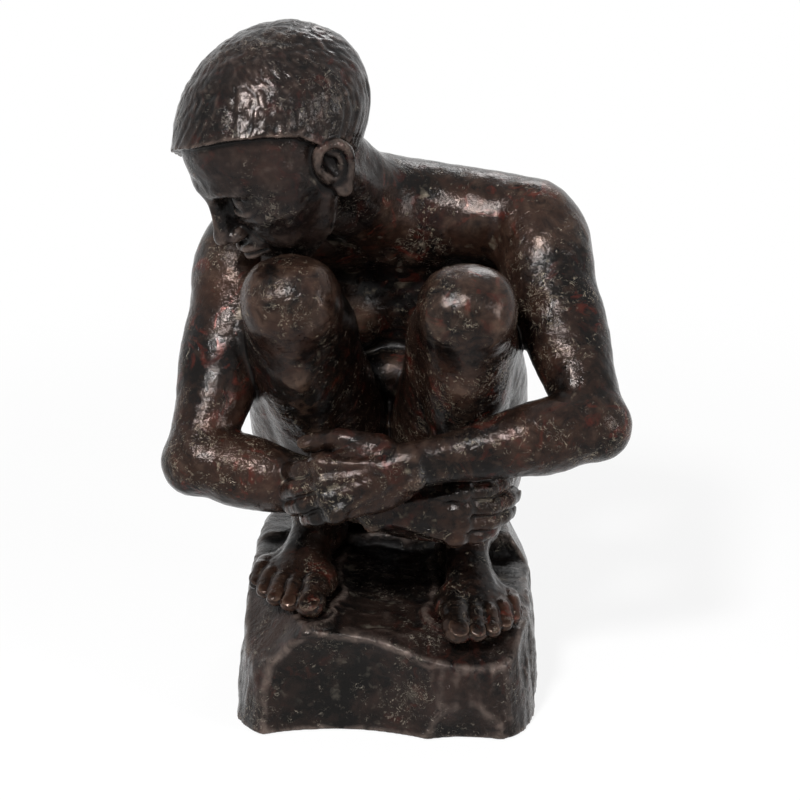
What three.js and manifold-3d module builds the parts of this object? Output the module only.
// A crouching woman in cast bronze, sitting on a rough rock with her knees drawn up and her arms
// round her shins. Millimetres, +Z up. She faces -Y, and the origin is under the middle of the rock.
// Left and right are her own, so her left side is at +X. The bronze is cast in sections, and each
// joint is a sleeve on one section that fits in a bore of the next and is held by a pin.
import * as THREE from "three";
import { mergeVertices } from "three/addons/utils/BufferGeometryUtils.js";
import Module from "manifold-3d";

const wasm = await Module();
wasm.setup();

const point = (x, y, z) => new THREE.Vector3(x, y, z);

// Driving dimensions of the rock. A chip is a hollow of its radius, sunk by its depth in the front.
const rockWidth = 236;
const rockFront = 138;
const rockBack = 128;
const rockTaper = 9;
const rockWall = 6;
const seatHeight = 106;
const ledgeHeight = 86;
const ledgeRise = 0.1;
const ledgeTilt = 0.08;
const ledgeBack = 28;
const chips = [
  { x: -34, z: 30, radius: 150, depth: 25 },
  { x: 64, z: -6, radius: 90, depth: 12 },
  { x: -120, z: -10, radius: 40, depth: 18 },
];
const brokenCorners = [
  { share: [-0.61, -0.7], drop: 1, normal: point(-0.62, -0.42, 0.68) },
  { share: [0.5, -0.74], drop: 1, normal: point(0.15, -0.5, 0.85) },
  { share: [0.97, 0.2], drop: 9, normal: point(0.86, 0.1, 0.5) },
  { share: [-0.95, 0.7], drop: 2, normal: point(-0.7, 0.5, 0.52) },
];

// Driving dimensions of the woman
const hipSpacing = 104;
const hipRise = 55;
const hipBack = 48;
const thighLength = 226;
const thighRadius = 55;
const kneeRadius = 38;
const shinLength = 214;
const calfRadius = 37;
const ankleRadius = 21;
const ankleRise = 44;
const shoulderRadius = 34;
const upperArmLength = 174;
const upperArmRadius = 31;
const forearmLength = 148;
const forearmRadius = 28;
const neckRadius = 34;
const headHeight = 162;
const palmLength = 60;
const fingerLength = 55;
const footLength = 156;

// How the castings are made, joined and fixed
const castWall = 4;
const seam = 0.3;
const bulkhead = 9;
const sleeveWall = 4;
const sleeveReach = 14;
const pinRadius = 2.5;
const plugRadius = 5;
const seatStud = { radius: 5, grip: 22, spacing: 56, back: 58 };
const heelStud = { radius: 3, grip: 16, back: 4 };
const padDrop = 8;
const washerThickness = 1.5;
const rimLift = 0.8;
const plateInset = 6;
const plateThickness = 3;
const feltThickness = 1.5;
const screwRadius = 2;
const lugRadius = 11;

const up = point(0, 0, 1);
const mix = (a, b, share) => a.clone().lerp(b, share);
const aim = (a, b) => b.clone().sub(a).normalize();

// Where a limb of two lengths bends between its ends, on the side that the pole points to.
function bendPoint(start, end, first, second, pole) {
  const along = aim(start, end);
  const span = start.distanceTo(end);
  const foot = (span * span + first * first - second * second) / (2 * span);
  const rise = Math.sqrt(Math.max(first * first - foot * foot, 1));
  const side = pole.clone().addScaledVector(along, -pole.dot(along)).normalize();
  return start.clone().addScaledVector(along, foot).addScaledVector(side, rise);
}

// Skeleton. Everything below is placed from these points.
const sides = { left: 1, right: -1 };
const names = Object.keys(sides);
const ledgeAt = (x, y) => ledgeHeight + ledgeRise * (y + rockFront / 2) - ledgeTilt * x;
const ledgeNormal = point(ledgeTilt, -ledgeRise, 1).normalize();
const sole = { left: point(58, -18, 0), right: point(-60, 2, 0) };
const kneePole = { left: point(0.08, -1, 0.55), right: point(-0.1, -1, 0.6) };
const hip = {};
const ankle = {};
const knee = {};
for (const name of names) {
  sole[name].z = ledgeAt(sole[name].x, sole[name].y);
  hip[name] = point((sides[name] * hipSpacing) / 2, hipBack, seatHeight + hipRise);
  ankle[name] = sole[name].clone().addScaledVector(ledgeNormal, ankleRise);
  knee[name] = bendPoint(hip[name], ankle[name], thighLength, shinLength, kneePole[name]);
}
const spine = [
  point(0, 54, seatHeight + 46),
  point(3, 78, seatHeight + 112),
  point(8, 80, seatHeight + 188),
  point(8, 44, seatHeight + 258),
];
const shoulder = { left: point(108, 4, seatHeight + 266), right: point(-106, 0, seatHeight + 248) };
const wrist = { left: point(12, -136, seatHeight + 112), right: point(2, -110, seatHeight + 74) };
const elbowPole = { left: point(0.9, -0.35, -0.5), right: point(-1, 0, -0.15) };
const elbow = {};
for (const name of names) {
  elbow[name] = bendPoint(shoulder[name], wrist[name], upperArmLength, forearmLength, elbowPole[name]);
}
const neckBase = point(8, 28, seatHeight + 274);
const headCentre = point(-76, -58, seatHeight + 324);
const faceForward = point(-0.7, -0.42, -0.58).normalize();
const crownLean = point(-0.42, -0.35, 0.84);
const crownUp = crownLean.clone().addScaledVector(faceForward, -crownLean.dot(faceForward)).normalize();
const headSide = faceForward.clone().cross(crownUp).normalize();

// The head, feet and hands are drawn at these sizes, and then scaled to her own.
const headScale = headHeight / 150;
const footScale = footLength / 146;
const palmScale = palmLength / 56;
const scaled = (sizes, scale) => sizes.map((size) => size * scale);
const sized = (stations, scale) => stations.map(([share, ...sizes]) => [share, ...scaled(sizes, scale)]);
const headAt = (side, forward, rise) => headCentre.clone().addScaledVector(headSide, side * headScale)
  .addScaledVector(faceForward, forward * headScale).addScaledVector(crownUp, rise * headScale);

// Joints between castings: where each is cut, the way it faces, and the sleeve that crosses it
const joints = {
  neck: { parts: ["torso", "head"], centre: mix(neckBase, headCentre, 0.44),
    normal: aim(neckBase, headCentre), sleeve: 17, pinWay: headSide },
};
for (const name of names) {
  const [leg, foot, arm, hand] = ["leg", "foot", "arm", "hand"].map((part) => `${name}_${part}`);
  const outwards = point(sides[name], 0, 0);
  joints[`${name}_shoulder`] = { parts: ["torso", arm], centre: mix(shoulder[name], elbow[name], 0.24),
    normal: aim(shoulder[name], elbow[name]), sleeve: 14, pinWay: outwards };
  joints[`${name}_hip`] = { parts: ["torso", leg], centre: mix(hip[name], knee[name], 0.18),
    normal: aim(hip[name], knee[name]), sleeve: 24, pinWay: outwards };
  joints[`${name}_wrist`] = { parts: [arm, hand], centre: wrist[name], normal: aim(elbow[name], wrist[name]),
    sleeve: 7, pinWay: up };
  joints[`${name}_ankle`] = { parts: [leg, foot], centre: mix(ankle[name], knee[name], 0.08),
    normal: aim(knee[name], ankle[name]), sleeve: 10, pinWay: point(0, -1, 0) };
}

// A row of a table of stations, read at any share of the length with a smooth curve through them.
function readStations(stations, share) {
  const found = stations.findIndex((s) => s[0] >= share);
  const i = Math.max(found < 0 ? stations.length - 1 : found, 1);
  const row = (j) => {
    const [at, width, depth, across = 0, deep = 0] = stations[Math.min(Math.max(j, 0), stations.length - 1)];
    return [at, width, depth, across, deep];
  };
  const [before, start, end, after] = [row(i - 2), row(i - 1), row(i), row(i + 1)];
  const gap = end[0] - start[0];
  const t = Math.min(Math.max((share - start[0]) / gap, 0), 1);
  const [t2, t3] = [t * t, t * t * t];
  return [1, 2, 3, 4].map((k) => {
    const slopeIn = (end[k] - before[k]) / (end[0] - before[0]);
    const slopeOut = (after[k] - start[k]) / (after[0] - start[0]);
    return (2 * t3 - 3 * t2 + 1) * start[k] + (t3 - 2 * t2 + t) * gap * slopeIn
      + (3 * t2 - 2 * t3) * end[k] + (t3 - t2) * gap * slopeOut;
  });
}

function solidFrom(geometry) {
  const plain = new THREE.BufferGeometry().setAttribute("position", geometry.getAttribute("position"));
  plain.setIndex(geometry.getIndex());
  const merged = mergeVertices(plain, 1e-4);
  return new wasm.Manifold(new wasm.Mesh({
    numProp: 3,
    vertProperties: merged.attributes.position.array,
    triVerts: new Uint32Array(merged.index.array),
  }));
}

// Rings of equally many points, closed by a single point at each end.
function loft(startPole, rings, endPole) {
  const around = rings[0].length;
  const points = [startPole, ...rings.flat(), endPole];
  const last = points.length - 1;
  const index = [];
  for (let j = 0; j < around; j++) {
    const k = (j + 1) % around;
    index.push(0, 1 + k, 1 + j);
    for (let i = 0; i + 1 < rings.length; i++) {
      const a = 1 + i * around;
      const b = a + around;
      index.push(a + j, a + k, b + k, a + j, b + k, b + j);
    }
    index.push(last, last - around + j, last - around + k);
  }
  const geometry = new THREE.BufferGeometry().setFromPoints(points);
  geometry.setIndex(index);
  return solidFrom(geometry);
}

// A limb: an ellipse carried along a straight or curved path, with a dome on each end. A station is
// [share of the length, half width, half depth, shift across, shift in depth]. A limb can start from a
// joint or run to one, and it is cored where the casting is hollow.
function limbSolid({ path, across, stations, around = 12, rings = 5, domes = [1, 1], caps = [1, 1] }, grow) {
  const curve = path.length > 2 ? new THREE.CatmullRomCurve3(path, false, "centripetal")
    : new THREE.LineCurve3(path[0], path[1]);
  const ring = (share, outwards, shrink) => {
    const centre = curve.getPointAt(share);
    const along = curve.getTangentAt(share).normalize();
    const side = across.clone().addScaledVector(along, -across.dot(along)).normalize();
    const deep = along.clone().cross(side);
    const [width, depth, shiftSide, shiftDeep] = readStations(stations, share);
    centre.addScaledVector(along, outwards).addScaledVector(side, shiftSide).addScaledVector(deep, shiftDeep);
    return Array.from({ length: shrink ? around : 1 }, (_, i) => {
      const turn = (2 * Math.PI * i) / around;
      return centre.clone()
        .addScaledVector(side, Math.cos(turn) * Math.max(width + grow, 0.5) * shrink)
        .addScaledVector(deep, Math.sin(turn) * Math.max(depth + grow, 0.5) * shrink);
    });
  };
  const [startCap, endCap] = [0, 1].map((share) => {
    const [width, depth] = readStations(stations, share);
    return Math.max(Math.min(width, depth) * caps[share] + grow, 0.5);
  });
  const turns = (count) => Array.from({ length: count }, (_, i) => ((i + 1) / (count + 1)) * (Math.PI / 2));
  const starts = turns(domes[0]).map((turn) => ring(0, -startCap * Math.cos(turn), Math.sin(turn)));
  const middle = Array.from({ length: rings + 1 }, (_, i) => ring(i / rings, 0, 1));
  const ends = turns(domes[1]).map((turn) => ring(1, endCap * Math.cos(turn), Math.sin(turn))).reverse();
  return loft(ring(0, -startCap, 0)[0], [...starts, ...middle, ...ends], ring(1, endCap, 0)[0]);
}

// A rounded lump, as half lengths across, along and deep.
function lump(centre, across, along, [halfAcross, halfAlong, halfDeep], around = 12, dome = 2) {
  const step = along.clone().multiplyScalar(halfAlong * 0.02);
  const cap = halfAlong / Math.min(halfAcross, halfDeep);
  return { path: [centre.clone().sub(step), centre.clone().add(step)], across, around, rings: 1,
    caps: [cap, cap], domes: [dome, dome], stations: [[0, halfAcross, halfDeep], [1, halfAcross, halfDeep]] };
}

// The same limb with fewer faces, for the hollows, which nobody sees.
const rough = (limb) => ({ ...limb, around: 8, rings: Math.ceil((limb.rings ?? 5) / 2), domes: [1, 1] });
const joined = (solids) => wasm.Manifold.union(solids);
const formOf = (limbs, grow = 0) => joined(limbs.map((limb) => limbSolid(limb, grow)));

// A plain round rod between two points.
function rod(a, b, radius, around = 10) {
  const geometry = new THREE.CylinderGeometry(radius, radius, a.distanceTo(b), around);
  geometry.applyQuaternion(new THREE.Quaternion().setFromUnitVectors(point(0, 1, 0), aim(a, b)));
  const centre = mix(a, b, 0.5);
  geometry.translate(centre.x, centre.y, centre.z);
  return solidFrom(geometry);
}
const upright = (x, y, low, high, radius, around) => rod(point(x, y, low), point(x, y, high), radius, around);

// A block whose near face lies on a plane, and which fills the side that the normal points to.
function beyond({ centre, normal, size = 400 }, gap = 0) {
  const geometry = new THREE.BoxGeometry(size, size, size);
  geometry.translate(0, 0, size / 2 + gap);
  geometry.applyQuaternion(new THREE.Quaternion().setFromUnitVectors(up, normal));
  geometry.translate(centre.x, centre.y, centre.z);
  return solidFrom(geometry);
}

function torsoLimbs() {
  const sideways = point(1, 0, 0);
  const limbs = [
    { path: spine, across: point(1, 0, 0.06), around: 16, rings: 7, caps: [0.8, 0.6], cored: true,
      stations: [[0, 80, 52], [0.2, 86, 58], [0.48, 70, 52], [0.75, 86, 60], [0.92, 84, 50], [1, 70, 38]] },
    { path: [shoulder.right, mix(shoulder.left, shoulder.right, 0.5).add(point(2, 26, 10)), shoulder.left],
      across: point(0, -0.3, 1), around: 10, rings: 4, domes: [2, 2], cored: true,
      stations: [[0, shoulderRadius, shoulderRadius - 1], [0.5, shoulderRadius + 4, shoulderRadius + 8],
        [1, shoulderRadius, shoulderRadius - 1]] },
    { path: [neckBase.clone().add(point(4, 6, -14)), mix(neckBase, headCentre, 0.6)], across: headSide,
      rings: 2, to: joints.neck, stations: [[0, neckRadius + 8, neckRadius + 6],
        [0.5, neckRadius, neckRadius], [1, neckRadius - 1, neckRadius - 1]] },
  ];
  for (const name of names) {
    const side = sides[name];
    limbs.push(
      { path: [mix(neckBase, headCentre, 0.25).add(point(side * 8, 8, 4)),
        mix(neckBase, shoulder[name], 0.85).add(point(0, 6, 10))], across: point(0, -0.4, 1), around: 8,
      rings: 2, stations: [[0, 18, 16], [1, 20, 24]] },
      { path: [shoulder[name], mix(shoulder[name], elbow[name], 0.28)], across: point(0, -1, 0.2), rings: 1,
        to: joints[`${name}_shoulder`], stations: [[0, shoulderRadius - 1, shoulderRadius - 2],
          [1, upperArmRadius + 1, upperArmRadius + 1]] },
      { ...lump(point(side * 40, 66, seatHeight + 46), sideways, up, [50, 50, 54]), cored: true },
      lump(point(side * 36 + 4, 38, seatHeight + 188), sideways, up, [33, 34, 36], 10, 1),
      { path: [hip[name], mix(hip[name], knee[name], 0.24)], across: sideways, rings: 1, around: 14,
        to: joints[`${name}_hip`], cored: true,
        stations: [[0, thighRadius - 1, thighRadius - 1], [1, thighRadius - 1, thighRadius - 2]] },
    );
  }
  return limbs;
}

// Points of the head are to her right, forwards and up.
function headLimbs() {
  const at = headAt;
  const lumpAt = (centre, halves, around, dome) => lump(centre, headSide, crownUp, scaled(halves, headScale),
    around, dome);
  const limbs = [
    { path: [mix(neckBase, headCentre, 0.3), at(0, -20, -6)], across: headSide, rings: 2, from: joints.neck,
      cored: true, stations: [[0, neckRadius - 1, neckRadius - 1], [1, neckRadius + 3, neckRadius + 4]] },
    { ...lumpAt(at(0, -10, 26), [52, 54, 64]), cored: true },
    { path: [at(0, 14, 26), at(0, 27, -46)], across: headSide, around: 16, rings: 4, domes: [1, 2],
      caps: [1, 0.9], cored: true,
      stations: sized([[0, 48, 44], [0.35, 45, 38], [0.7, 37, 31], [0.9, 29, 25], [1, 23, 21]], headScale) },
    { path: [at(0, 50, 16), at(0, 61, -8)], across: headSide, around: 8, rings: 2,
      stations: sized([[0, 5, 8], [0.7, 6, 8], [1, 9, 7]], headScale) },
    lumpAt(at(0, 52, -24), [14, 6, 7], 8, 1),
    lumpAt(at(0, 46, -47), [12, 10, 8], 8, 1),
  ];
  for (const side of [-1, 1]) {
    limbs.push(
      { path: [at(side * 51, -10, 14), at(side * 49, -6, -10)], across: faceForward, around: 10, rings: 2,
        stations: sized([[0, 13, 6], [1, 7, 5]], headScale) },
      lumpAt(at(side * 22, 45, 22), [18, 6, 8], 8, 1),
      lumpAt(at(side * 27, 36, -6), [13, 15, 12], 8, 1),
    );
  }
  return limbs;
}

// Her hair is a close cap, cut off along the line of its fringe and round the ears.
function hairSolid(grow) {
  const sizes = scaled([56.5, 58, 68.5], headScale);
  const cap = formOf([lump(headAt(0, -10, 27), headSide, crownUp, sizes, 18, 4)], grow);
  const fringe = faceForward.clone().multiplyScalar(0.62).addScaledVector(crownUp, -0.78).normalize();
  const nape = crownUp.clone().negate().addScaledVector(faceForward, 0.25).normalize();
  return cap.subtract(beyond({ centre: headAt(0, 44, 46), normal: fringe }, grow))
    .subtract(beyond({ centre: headAt(0, -40, -14), normal: nape }, grow));
}

function legLimbs(name) {
  const across = point(1, 0, 0);
  const shinAlong = aim(knee[name], ankle[name]);
  const capWay = aim(mix(hip[name], ankle[name], 0.5), knee[name]).add(shinAlong.clone().cross(across));
  capWay.normalize();
  return [
    { path: [hip[name], knee[name]], across, around: 14, rings: 4, domes: [1, 3], from: joints[`${name}_hip`],
      cored: true, stations: [[0, thighRadius, thighRadius], [0.3, thighRadius - 1, thighRadius - 3],
        [0.72, kneeRadius + 5, kneeRadius + 4], [1, kneeRadius, kneeRadius]] },
    { path: [knee[name], ankle[name]], across, around: 14, rings: 5, to: joints[`${name}_ankle`], cored: true,
      stations: [[0, kneeRadius - 4, kneeRadius - 3], [0.28, calfRadius, calfRadius + 3, 0, -5],
        [0.55, calfRadius - 6, calfRadius - 4, 0, -4], [0.85, ankleRadius + 1, ankleRadius + 3],
        [1, ankleRadius, ankleRadius + 2]] },
    lump(knee[name].clone().addScaledVector(capWay, kneeRadius * 0.5), across, shinAlong,
      [kneeRadius * 0.62, kneeRadius * 0.66, kneeRadius * 0.56], 10),
  ];
}

function footLimbs(name) {
  const side = sides[name];
  const forward = point(side * 0.16, -1, 0).projectOnPlane(ledgeNormal).normalize();
  const cross = ledgeNormal.clone().cross(forward);
  const at = (x, y, z) => sole[name].clone().addScaledVector(cross, x * side * footScale)
    .addScaledVector(forward, y * footScale).addScaledVector(ledgeNormal, z * footScale);
  const limbs = [
    { path: [mix(ankle[name], knee[name], 0.12), at(0, -6, 20)], across: cross, around: 10, rings: 1,
      from: joints[`${name}_ankle`],
      stations: [[0, ankleRadius, ankleRadius + 2], [1, ankleRadius, ankleRadius + 6]] },
    { path: [at(0, -20, 17), at(3, 62, 10)], across: cross, around: 10, rings: 3,
      stations: sized([[0, 18, 18], [0.5, 23, 12], [1, 28, 9]], footScale) },
    { path: [at(-1, 2, 32), at(-2, 62, 13)], across: cross, around: 8, rings: 2,
      stations: sized([[0, 18, 15], [0.6, 19, 12], [1, 21, 8]], footScale) },
  ];
  // Each toe's root across and forwards, its length and its radius
  const toes = [[-17.5, 66, 36, 10], [-3, 70, 30, 7], [8.5, 68, 27, 6.5], [18.5, 63, 24, 6.1],
    [27, 56, 21, 5.8]];
  for (const [x, y, length, radius] of toes) {
    limbs.push({ path: [at(x, y - 6, 11), at(x, y + length * 0.45, 12), at(x - 0.5, y + length * 0.8, 7.5)],
      across: cross, around: 6, rings: 2, stations: sized([[0, radius, radius * 0.85],
        [0.6, radius * 0.9, radius * 0.8], [1, radius, radius * 0.75]], footScale) });
  }
  return limbs;
}

function armLimbs(name) {
  return [
    { path: [shoulder[name], elbow[name]], across: point(0, -1, 0.2), rings: 4, domes: [1, 2], cored: true,
      from: joints[`${name}_shoulder`],
      stations: [[0, shoulderRadius, shoulderRadius - 1], [0.35, upperArmRadius, upperArmRadius + 1],
        [0.7, upperArmRadius - 4, upperArmRadius - 3], [1, forearmRadius - 1, forearmRadius - 1]] },
    { path: [elbow[name], wrist[name]], across: up, rings: 4, to: joints[`${name}_wrist`], cored: true,
      stations: [[0, forearmRadius - 4, forearmRadius - 4], [0.22, forearmRadius, forearmRadius - 2],
        [0.6, forearmRadius - 5, forearmRadius - 8], [0.9, forearmRadius - 10, forearmRadius - 13],
        [1, forearmRadius - 11, forearmRadius - 14]] },
  ];
}

// A hand from its wrist. The palm runs along, its back faces the way that back points, and each
// finger curls at its three joints.
const grips = {
  left: { along: point(-1, -0.02, -0.3), back: point(-0.1, -0.95, 0.25), curl: [0.45, 0.5, 0.45] },
  right: { along: point(1, 0.02, -0.1), back: point(0.1, -0.95, -0.1), curl: [0.36, 0.45, 0.4] },
};
function handLimbs(name) {
  const along = grips[name].along.clone().normalize();
  const back = grips[name].back.clone().addScaledVector(along, -grips[name].back.dot(along)).normalize();
  const across = along.clone().cross(back).multiplyScalar(-sides[name]).normalize();
  const at = (x, y, z) => wrist[name].clone().addScaledVector(across, x * palmScale)
    .addScaledVector(along, y).addScaledVector(back, z * palmScale);
  const limbs = [
    { path: [at(0, -8, 0), at(0, palmLength, 1)], across, rings: 3, caps: [1, 0.6],
      from: joints[`${name}_wrist`],
      stations: sized([[0, 15.5, 12.5], [0.3, 20, 13], [0.8, 25, 11], [1, 24, 9]], palmScale) },
    { path: [at(-17, 12, -3), at(-31, 34, -7), at(-33, 58, -11)], across, around: 6, rings: 3,
      stations: sized([[0, 10, 8], [0.5, 8, 7], [1, 6.5, 5.5]], palmScale) },
  ];
  // Each finger's place across the palm, its share of the longest and its radius, then the share of
  // each bone
  const fingers = [[-17.5, 0.9, 6.8], [-6, 1, 7.2], [6, 0.94, 6.9], [17, 0.76, 6.2]];
  const bones = [0.45, 0.3, 0.22];
  for (const [x, share, radius] of fingers) {
    const path = [at(x, palmLength - 4 - Math.abs(x) * 0.25, 1.5)];
    const bone = along.clone();
    bones.forEach((length, k) => {
      bone.applyAxisAngle(across, grips[name].curl[k] * sides[name]);
      path.push(path[k].clone().addScaledVector(bone, fingerLength * share * length));
    });
    limbs.push({ path, across, around: 6, rings: 4, stations: sized([[0, radius, radius * 0.95],
      [0.45, radius * 0.95, radius * 0.9], [1, radius * 0.82, radius * 0.76]], palmScale) });
  }
  return limbs;
}

// The rock, drawn in by an inset: a rounded block with a seat at the back and a sloping ledge for the
// feet. Its front is chipped and its front corners are broken off.
function rockSolid(inset, floor, around = 12) {
  const half = rockWidth / 2 - inset;
  const middleY = (rockBack - rockFront) / 2;
  const halfDepth = (rockBack + rockFront) / 2 - inset;
  const squareness = 0.4;
  const outline = (z, shrink) => Array.from({ length: around }, (_, i) => {
    const turn = (2 * Math.PI * (i + 0.5)) / around;
    const [c, s] = [Math.cos(turn), Math.sin(turn)];
    const taper = rockTaper * (Math.max(z, 0) / seatHeight) + shrink + 2 * Math.sin(3 * turn + z / 30);
    return point(Math.sign(c) * Math.abs(c) ** squareness * (half - taper),
      middleY + Math.sign(s) * Math.abs(s) ** squareness * (halfDepth - taper), z);
  });
  const top = seatHeight - inset;
  const rings = [outline(floor, 3), outline(floor + 4, 1), outline(top * 0.5, 1), outline(top - 12, 2),
    outline(top, 9)];
  const corners = brokenCorners.map(({ share, drop, normal }) => {
    const [x, y] = [share[0] * (rockWidth / 2), share[1] * rockFront];
    return { centre: point(x, y, ledgeAt(x, y) - drop), normal: normal.clone().normalize() };
  });
  const ledge = new THREE.BoxGeometry(rockWidth * 2, rockFront * 2, 80);
  ledge.translate(0, -rockFront, 40);
  ledge.applyQuaternion(new THREE.Quaternion().setFromUnitVectors(up, ledgeNormal));
  ledge.translate(0, ledgeBack + inset, ledgeAt(0, ledgeBack + inset) - inset);
  const hollows = chips.map(({ x, z, radius, depth }) => {
    const ball = new THREE.IcosahedronGeometry(radius + inset, 4);
    ball.translate(x, -rockFront + depth - radius, z);
    return solidFrom(ball);
  });
  return loft(point(0, middleY, floor), rings, point(0, middleY, top))
    .subtract(joined([solidFrom(ledge), ...hollows, ...corners.map((corner) => beyond(corner, -inset))]));
}

const forms = { torso: torsoLimbs(), head: headLimbs() };
for (const name of names) {
  forms[`${name}_leg`] = legLimbs(name);
  forms[`${name}_foot`] = footLimbs(name);
  forms[`${name}_arm`] = armLimbs(name);
  forms[`${name}_hand`] = handLimbs(name);
}

// The form of a casting, grown or shrunk, and held back from its joints by a gap.
function sectionOf(limbs, grow, gap) {
  return joined(limbs.map((limb) => {
    let solid = limbSolid(limb, grow);
    if (limb.from) solid = solid.intersect(beyond(limb.from, gap));
    if (limb.to) solid = solid.subtract(beyond(limb.to, -gap));
    return solid;
  }));
}
const section = {};
const clearance = {};
for (const [part, limbs] of Object.entries(forms)) {
  section[part] = sectionOf(limbs, 0, seam * 0.6);
  clearance[part] = sectionOf(limbs, seam, -seam / 2);
}
const seat = { centre: point(0, 0, seatHeight + seam), normal: up.clone().negate() };
const footing = { centre: point(0, 0, ledgeAt(0, 0) + seam * 1.1), normal: ledgeNormal.clone().negate() };
section.torso = section.torso.subtract(beyond(seat));
for (const name of names) {
  section[`${name}_foot`] = section[`${name}_foot`].subtract(beyond(footing));
  clearance[`${name}_foot`] = clearance[`${name}_foot`].subtract(beyond(footing, seam * 0.7));
}
section.head = section.head.add(hairSolid(0));
clearance.head = clearance.head.add(hairSolid(seam));

// What each casting makes room for where they touch
const yields = {
  torso: ["head", "left_leg", "right_leg", "left_foot", "right_foot", "left_arm", "right_arm"],
  right_leg: ["left_leg"],
  head: ["left_leg", "right_leg", "right_arm"],
  left_arm: ["left_leg", "right_leg", "right_arm"],
  right_arm: ["left_leg", "right_leg"],
  left_hand: ["left_leg", "right_leg", "right_arm"],
  right_hand: ["left_leg", "right_leg", "left_arm", "left_hand"],
};
const castings = {};
for (const part of Object.keys(forms)) {
  const near = yields[part] ?? [];
  castings[part] = near.reduce((solid, other) => solid.subtract(clearance[other]), section[part]);
}

// Hollows, each stopped short of its joints by a bulkhead. The torso's core came out through the seat,
// and the feet and hands are solid.
const seatStuds = names.map((name) => ({ ...seatStud, at: `${name}_seat`,
  x: (sides[name] * seatStud.spacing) / 2, y: seatStud.back, top: seatHeight }));
const heelStuds = names.map((name) => ({ ...heelStud, at: `${name}_heel`, x: sole[name].x,
  y: sole[name].y + heelStud.back, top: sole[name].z }));
const studs = [...seatStuds, ...heelStuds];
const bossWall = 6;
const bosses = seatStuds.map(({ x, y, top, grip, radius }) => upright(x, y, top - bossWall,
  top + grip + bossWall, radius + bossWall, 8));
const legWall = castWall + seam + 3;
const legRoom = joined(names.map((name) => sectionOf(forms[`${name}_leg`].map(rough), legWall, -bulkhead)));
const mouthRadius = 15;
const coreMouth = upright(0, seatStud.back, seatHeight - 10, seatHeight + hipRise, mouthRadius, 8);
for (const [part, limbs] of Object.entries(forms)) {
  const cores = limbs.filter((limb) => limb.cored).map(rough);
  if (cores.length === 0) continue;
  let hollow = sectionOf(cores, -castWall - 1, bulkhead);
  if (part === "torso") hollow = hollow.subtract(legRoom).subtract(joined(bosses)).add(coreMouth);
  castings[part] = castings[part].subtract(hollow);
}

// Sleeves and their pins. The second part of a joint carries the sleeve.
const pinLength = 90;
const pins = {};
for (const [jointName, { parts: [inner, outer], centre, normal, sleeve, pinWay }] of Object.entries(joints)) {
  const step = (distance) => centre.clone().addScaledVector(normal, distance);
  const bore = rod(step(-sleeveReach - seam), step(1), sleeve + seam, 10);
  const way = pinWay.clone().addScaledVector(normal, -pinWay.dot(normal)).normalize();
  const pinEnds = [sleeve - sleeveWall - 1, pinLength].map((reach) => step(-bulkhead / 2)
    .addScaledVector(way, reach));
  const pinHole = rod(...pinEnds, pinRadius + seam, 6);
  castings[inner] = castings[inner].subtract(bore).subtract(pinHole);
  castings[outer] = castings[outer].add(rod(step(-sleeveReach), step(2), sleeve, 10));
  if (forms[outer].some((limb) => limb.cored)) {
    const passage = rod(step(-sleeveReach - 1), step(bulkhead + 4), sleeve - sleeveWall, 8);
    castings[outer] = castings[outer].subtract(passage);
  }
  castings[outer] = castings[outer].subtract(pinHole);
  pins[`${jointName}_pin`] = rod(...pinEnds, pinRadius, 6).intersect(formOf(forms[inner], -seam));
}

// Plugs that close the core vents in her back
const spineCurve = new THREE.CatmullRomCurve3(spine, false, "centripetal");
const plugs = {};
for (const [name, share] of Object.entries({ lower_plug: 0.3, middle_plug: 0.5, upper_plug: 0.7 })) {
  const depth = readStations(forms.torso[0].stations, share)[1];
  const [low, high] = [depth - castWall - 4, depth + 24].map((d) => spineCurve.getPointAt(share)
    .add(point(0, d, 0)));
  castings.torso = castings.torso.subtract(rod(low, high, plugRadius + seam, 8));
  plugs[name] = rod(low, high, plugRadius, 8).intersect(formOf(forms.torso, -seam));
}

// The hollow rock, with pads for the studs, lugs for the plate and a recess that takes the plate
const plateTop = feltThickness + seam + plateThickness;
const lugFloor = plateTop + seam;
const lugs = names.flatMap((name) => {
  const x = (sides[name] * 0.72 * rockWidth) / 2;
  return [{ at: `${name}_front`, x, y: -0.6 * rockFront }, { at: `${name}_back`, x, y: 0.68 * rockBack }];
});
const lugHeight = 24;
const fittings = joined([
  ...studs.map(({ x, y, top, radius }) => upright(x, y, top - rockWall - padDrop, top - 2,
    radius * 2 + 4, 8)),
  ...lugs.map(({ x, y }) => upright(x, y, lugFloor, lugFloor + lugHeight, lugRadius, 8)),
  ...lugs.map(({ x, y }) => rod(point(x, y, lugFloor + lugHeight / 2),
    point(x * 1.3, y * 1.06, lugFloor + lugHeight * 1.4), lugRadius - 2, 6)),
]);
const aboveRecess = beyond({ centre: point(0, 0, lugFloor), normal: up, size: 900 });
const recess = rockSolid(plateInset, -10).subtract(aboveRecess);
let rock = rockSolid(0, rimLift, 24).subtract(rockSolid(rockWall, -10).subtract(fittings)).subtract(recess);
for (const name of names) rock = rock.subtract(clearance[`${name}_foot`]);

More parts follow.
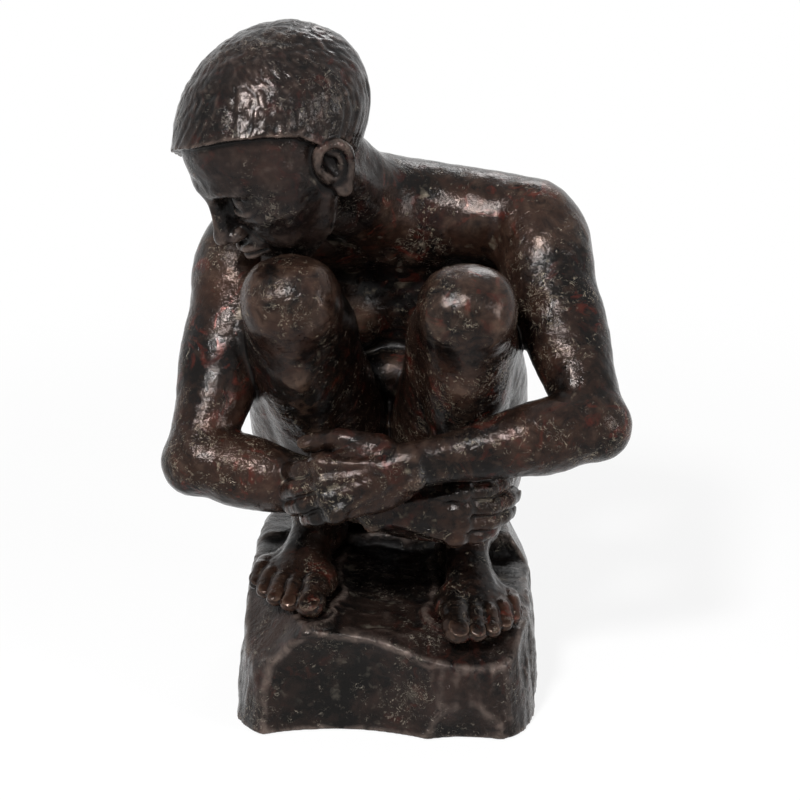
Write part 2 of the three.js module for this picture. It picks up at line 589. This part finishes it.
// Studs, washers and nuts that hold the figure, and the screws that hold the plate
const fixings = {};
for (const { at, x, y, top, radius, grip } of studs) {
  const washerTop = top - rockWall - padDrop - seam;
  const nutTop = washerTop - washerThickness - seam;
  const nutFloor = nutTop - radius * 1.6;
  const bore = upright(x, y, nutFloor - 4, top + grip + 1, radius + seam, 8);
  fixings[`${at}_stud`] = upright(x, y, nutFloor - 3, top + grip, radius, 8);
  fixings[`${at}_washer`] = upright(x, y, washerTop - washerThickness, washerTop, radius * 2 + 1, 8)
    .subtract(bore);
  fixings[`${at}_nut`] = upright(x, y, nutFloor, nutTop, radius * 1.85, 6).subtract(bore);
  rock = rock.subtract(bore);
  for (const part of ["torso", "left_foot", "right_foot"]) castings[part] = castings[part].subtract(bore);
}
const screwAt = ({ x, y }, gap) => joined([
  upright(x, y, feltThickness + seam - gap, lugFloor + 12 + gap, screwRadius + gap, 6),
  upright(x, y, feltThickness + seam - gap * 4, feltThickness + seam + 1.4 + gap, screwRadius * 1.9 + gap, 6),
]);
for (const lug of lugs) {
  fixings[`${lug.at}_screw`] = screwAt(lug, 0);
  rock = rock.subtract(screwAt(lug, seam));
}

// A slice of the rock's outline between two heights
function slice(inset, low, high) {
  return rockSolid(inset, -10).intersect(beyond({ centre: point(0, 0, low), normal: up, size: 600 }))
    .subtract(beyond({ centre: point(0, 0, high), normal: up, size: 700 }));
}
const plate = lugs.reduce((solid, lug) => solid.subtract(screwAt(lug, seam)),
  slice(plateInset + 0.5, feltThickness + seam, plateTop));

const finishes = {
  bronze: new THREE.MeshStandardMaterial({ color: 0x2b211b, roughness: 0.35, metalness: 0.8 }),
  rawBronze: new THREE.MeshStandardMaterial({ color: 0x9a6b3a, roughness: 0.4, metalness: 1 }),
  steel: new THREE.MeshStandardMaterial({ color: 0x9a9c9f, roughness: 0.35, metalness: 1 }),
  felt: new THREE.MeshStandardMaterial({ color: 0x1d2420, roughness: 1, metalness: 0 }),
};
const statue = new THREE.Group();

function addNode(name, solid, finish) {
  const { vertProperties, triVerts, numProp } = solid.getMesh();
  const positions = new Float32Array(triVerts.length * 3);
  triVerts.forEach((v, i) => positions.set(vertProperties.subarray(v * numProp, v * numProp + 3), i * 3));
  const geometry = new THREE.BufferGeometry();
  geometry.setAttribute("position", new THREE.BufferAttribute(positions, 3));
  geometry.computeVertexNormals();
  const mesh = new THREE.Mesh(geometry, finishes[finish]);
  mesh.name = name;
  statue.add(mesh);
  console.log(name, triVerts.length / 3, "triangles");
}

addNode("rock_base", rock, "bronze");
for (const [part, solid] of Object.entries(castings)) addNode(part, solid, "bronze");
for (const [name, solid] of Object.entries({ ...pins, ...plugs })) addNode(name, solid, "rawBronze");
for (const [name, solid] of Object.entries(fixings)) addNode(name, solid, "steel");
addNode("base_plate", plate, "steel");
addNode("felt_pad", slice(plateInset + 2, 0, feltThickness), "felt");

export default statue;
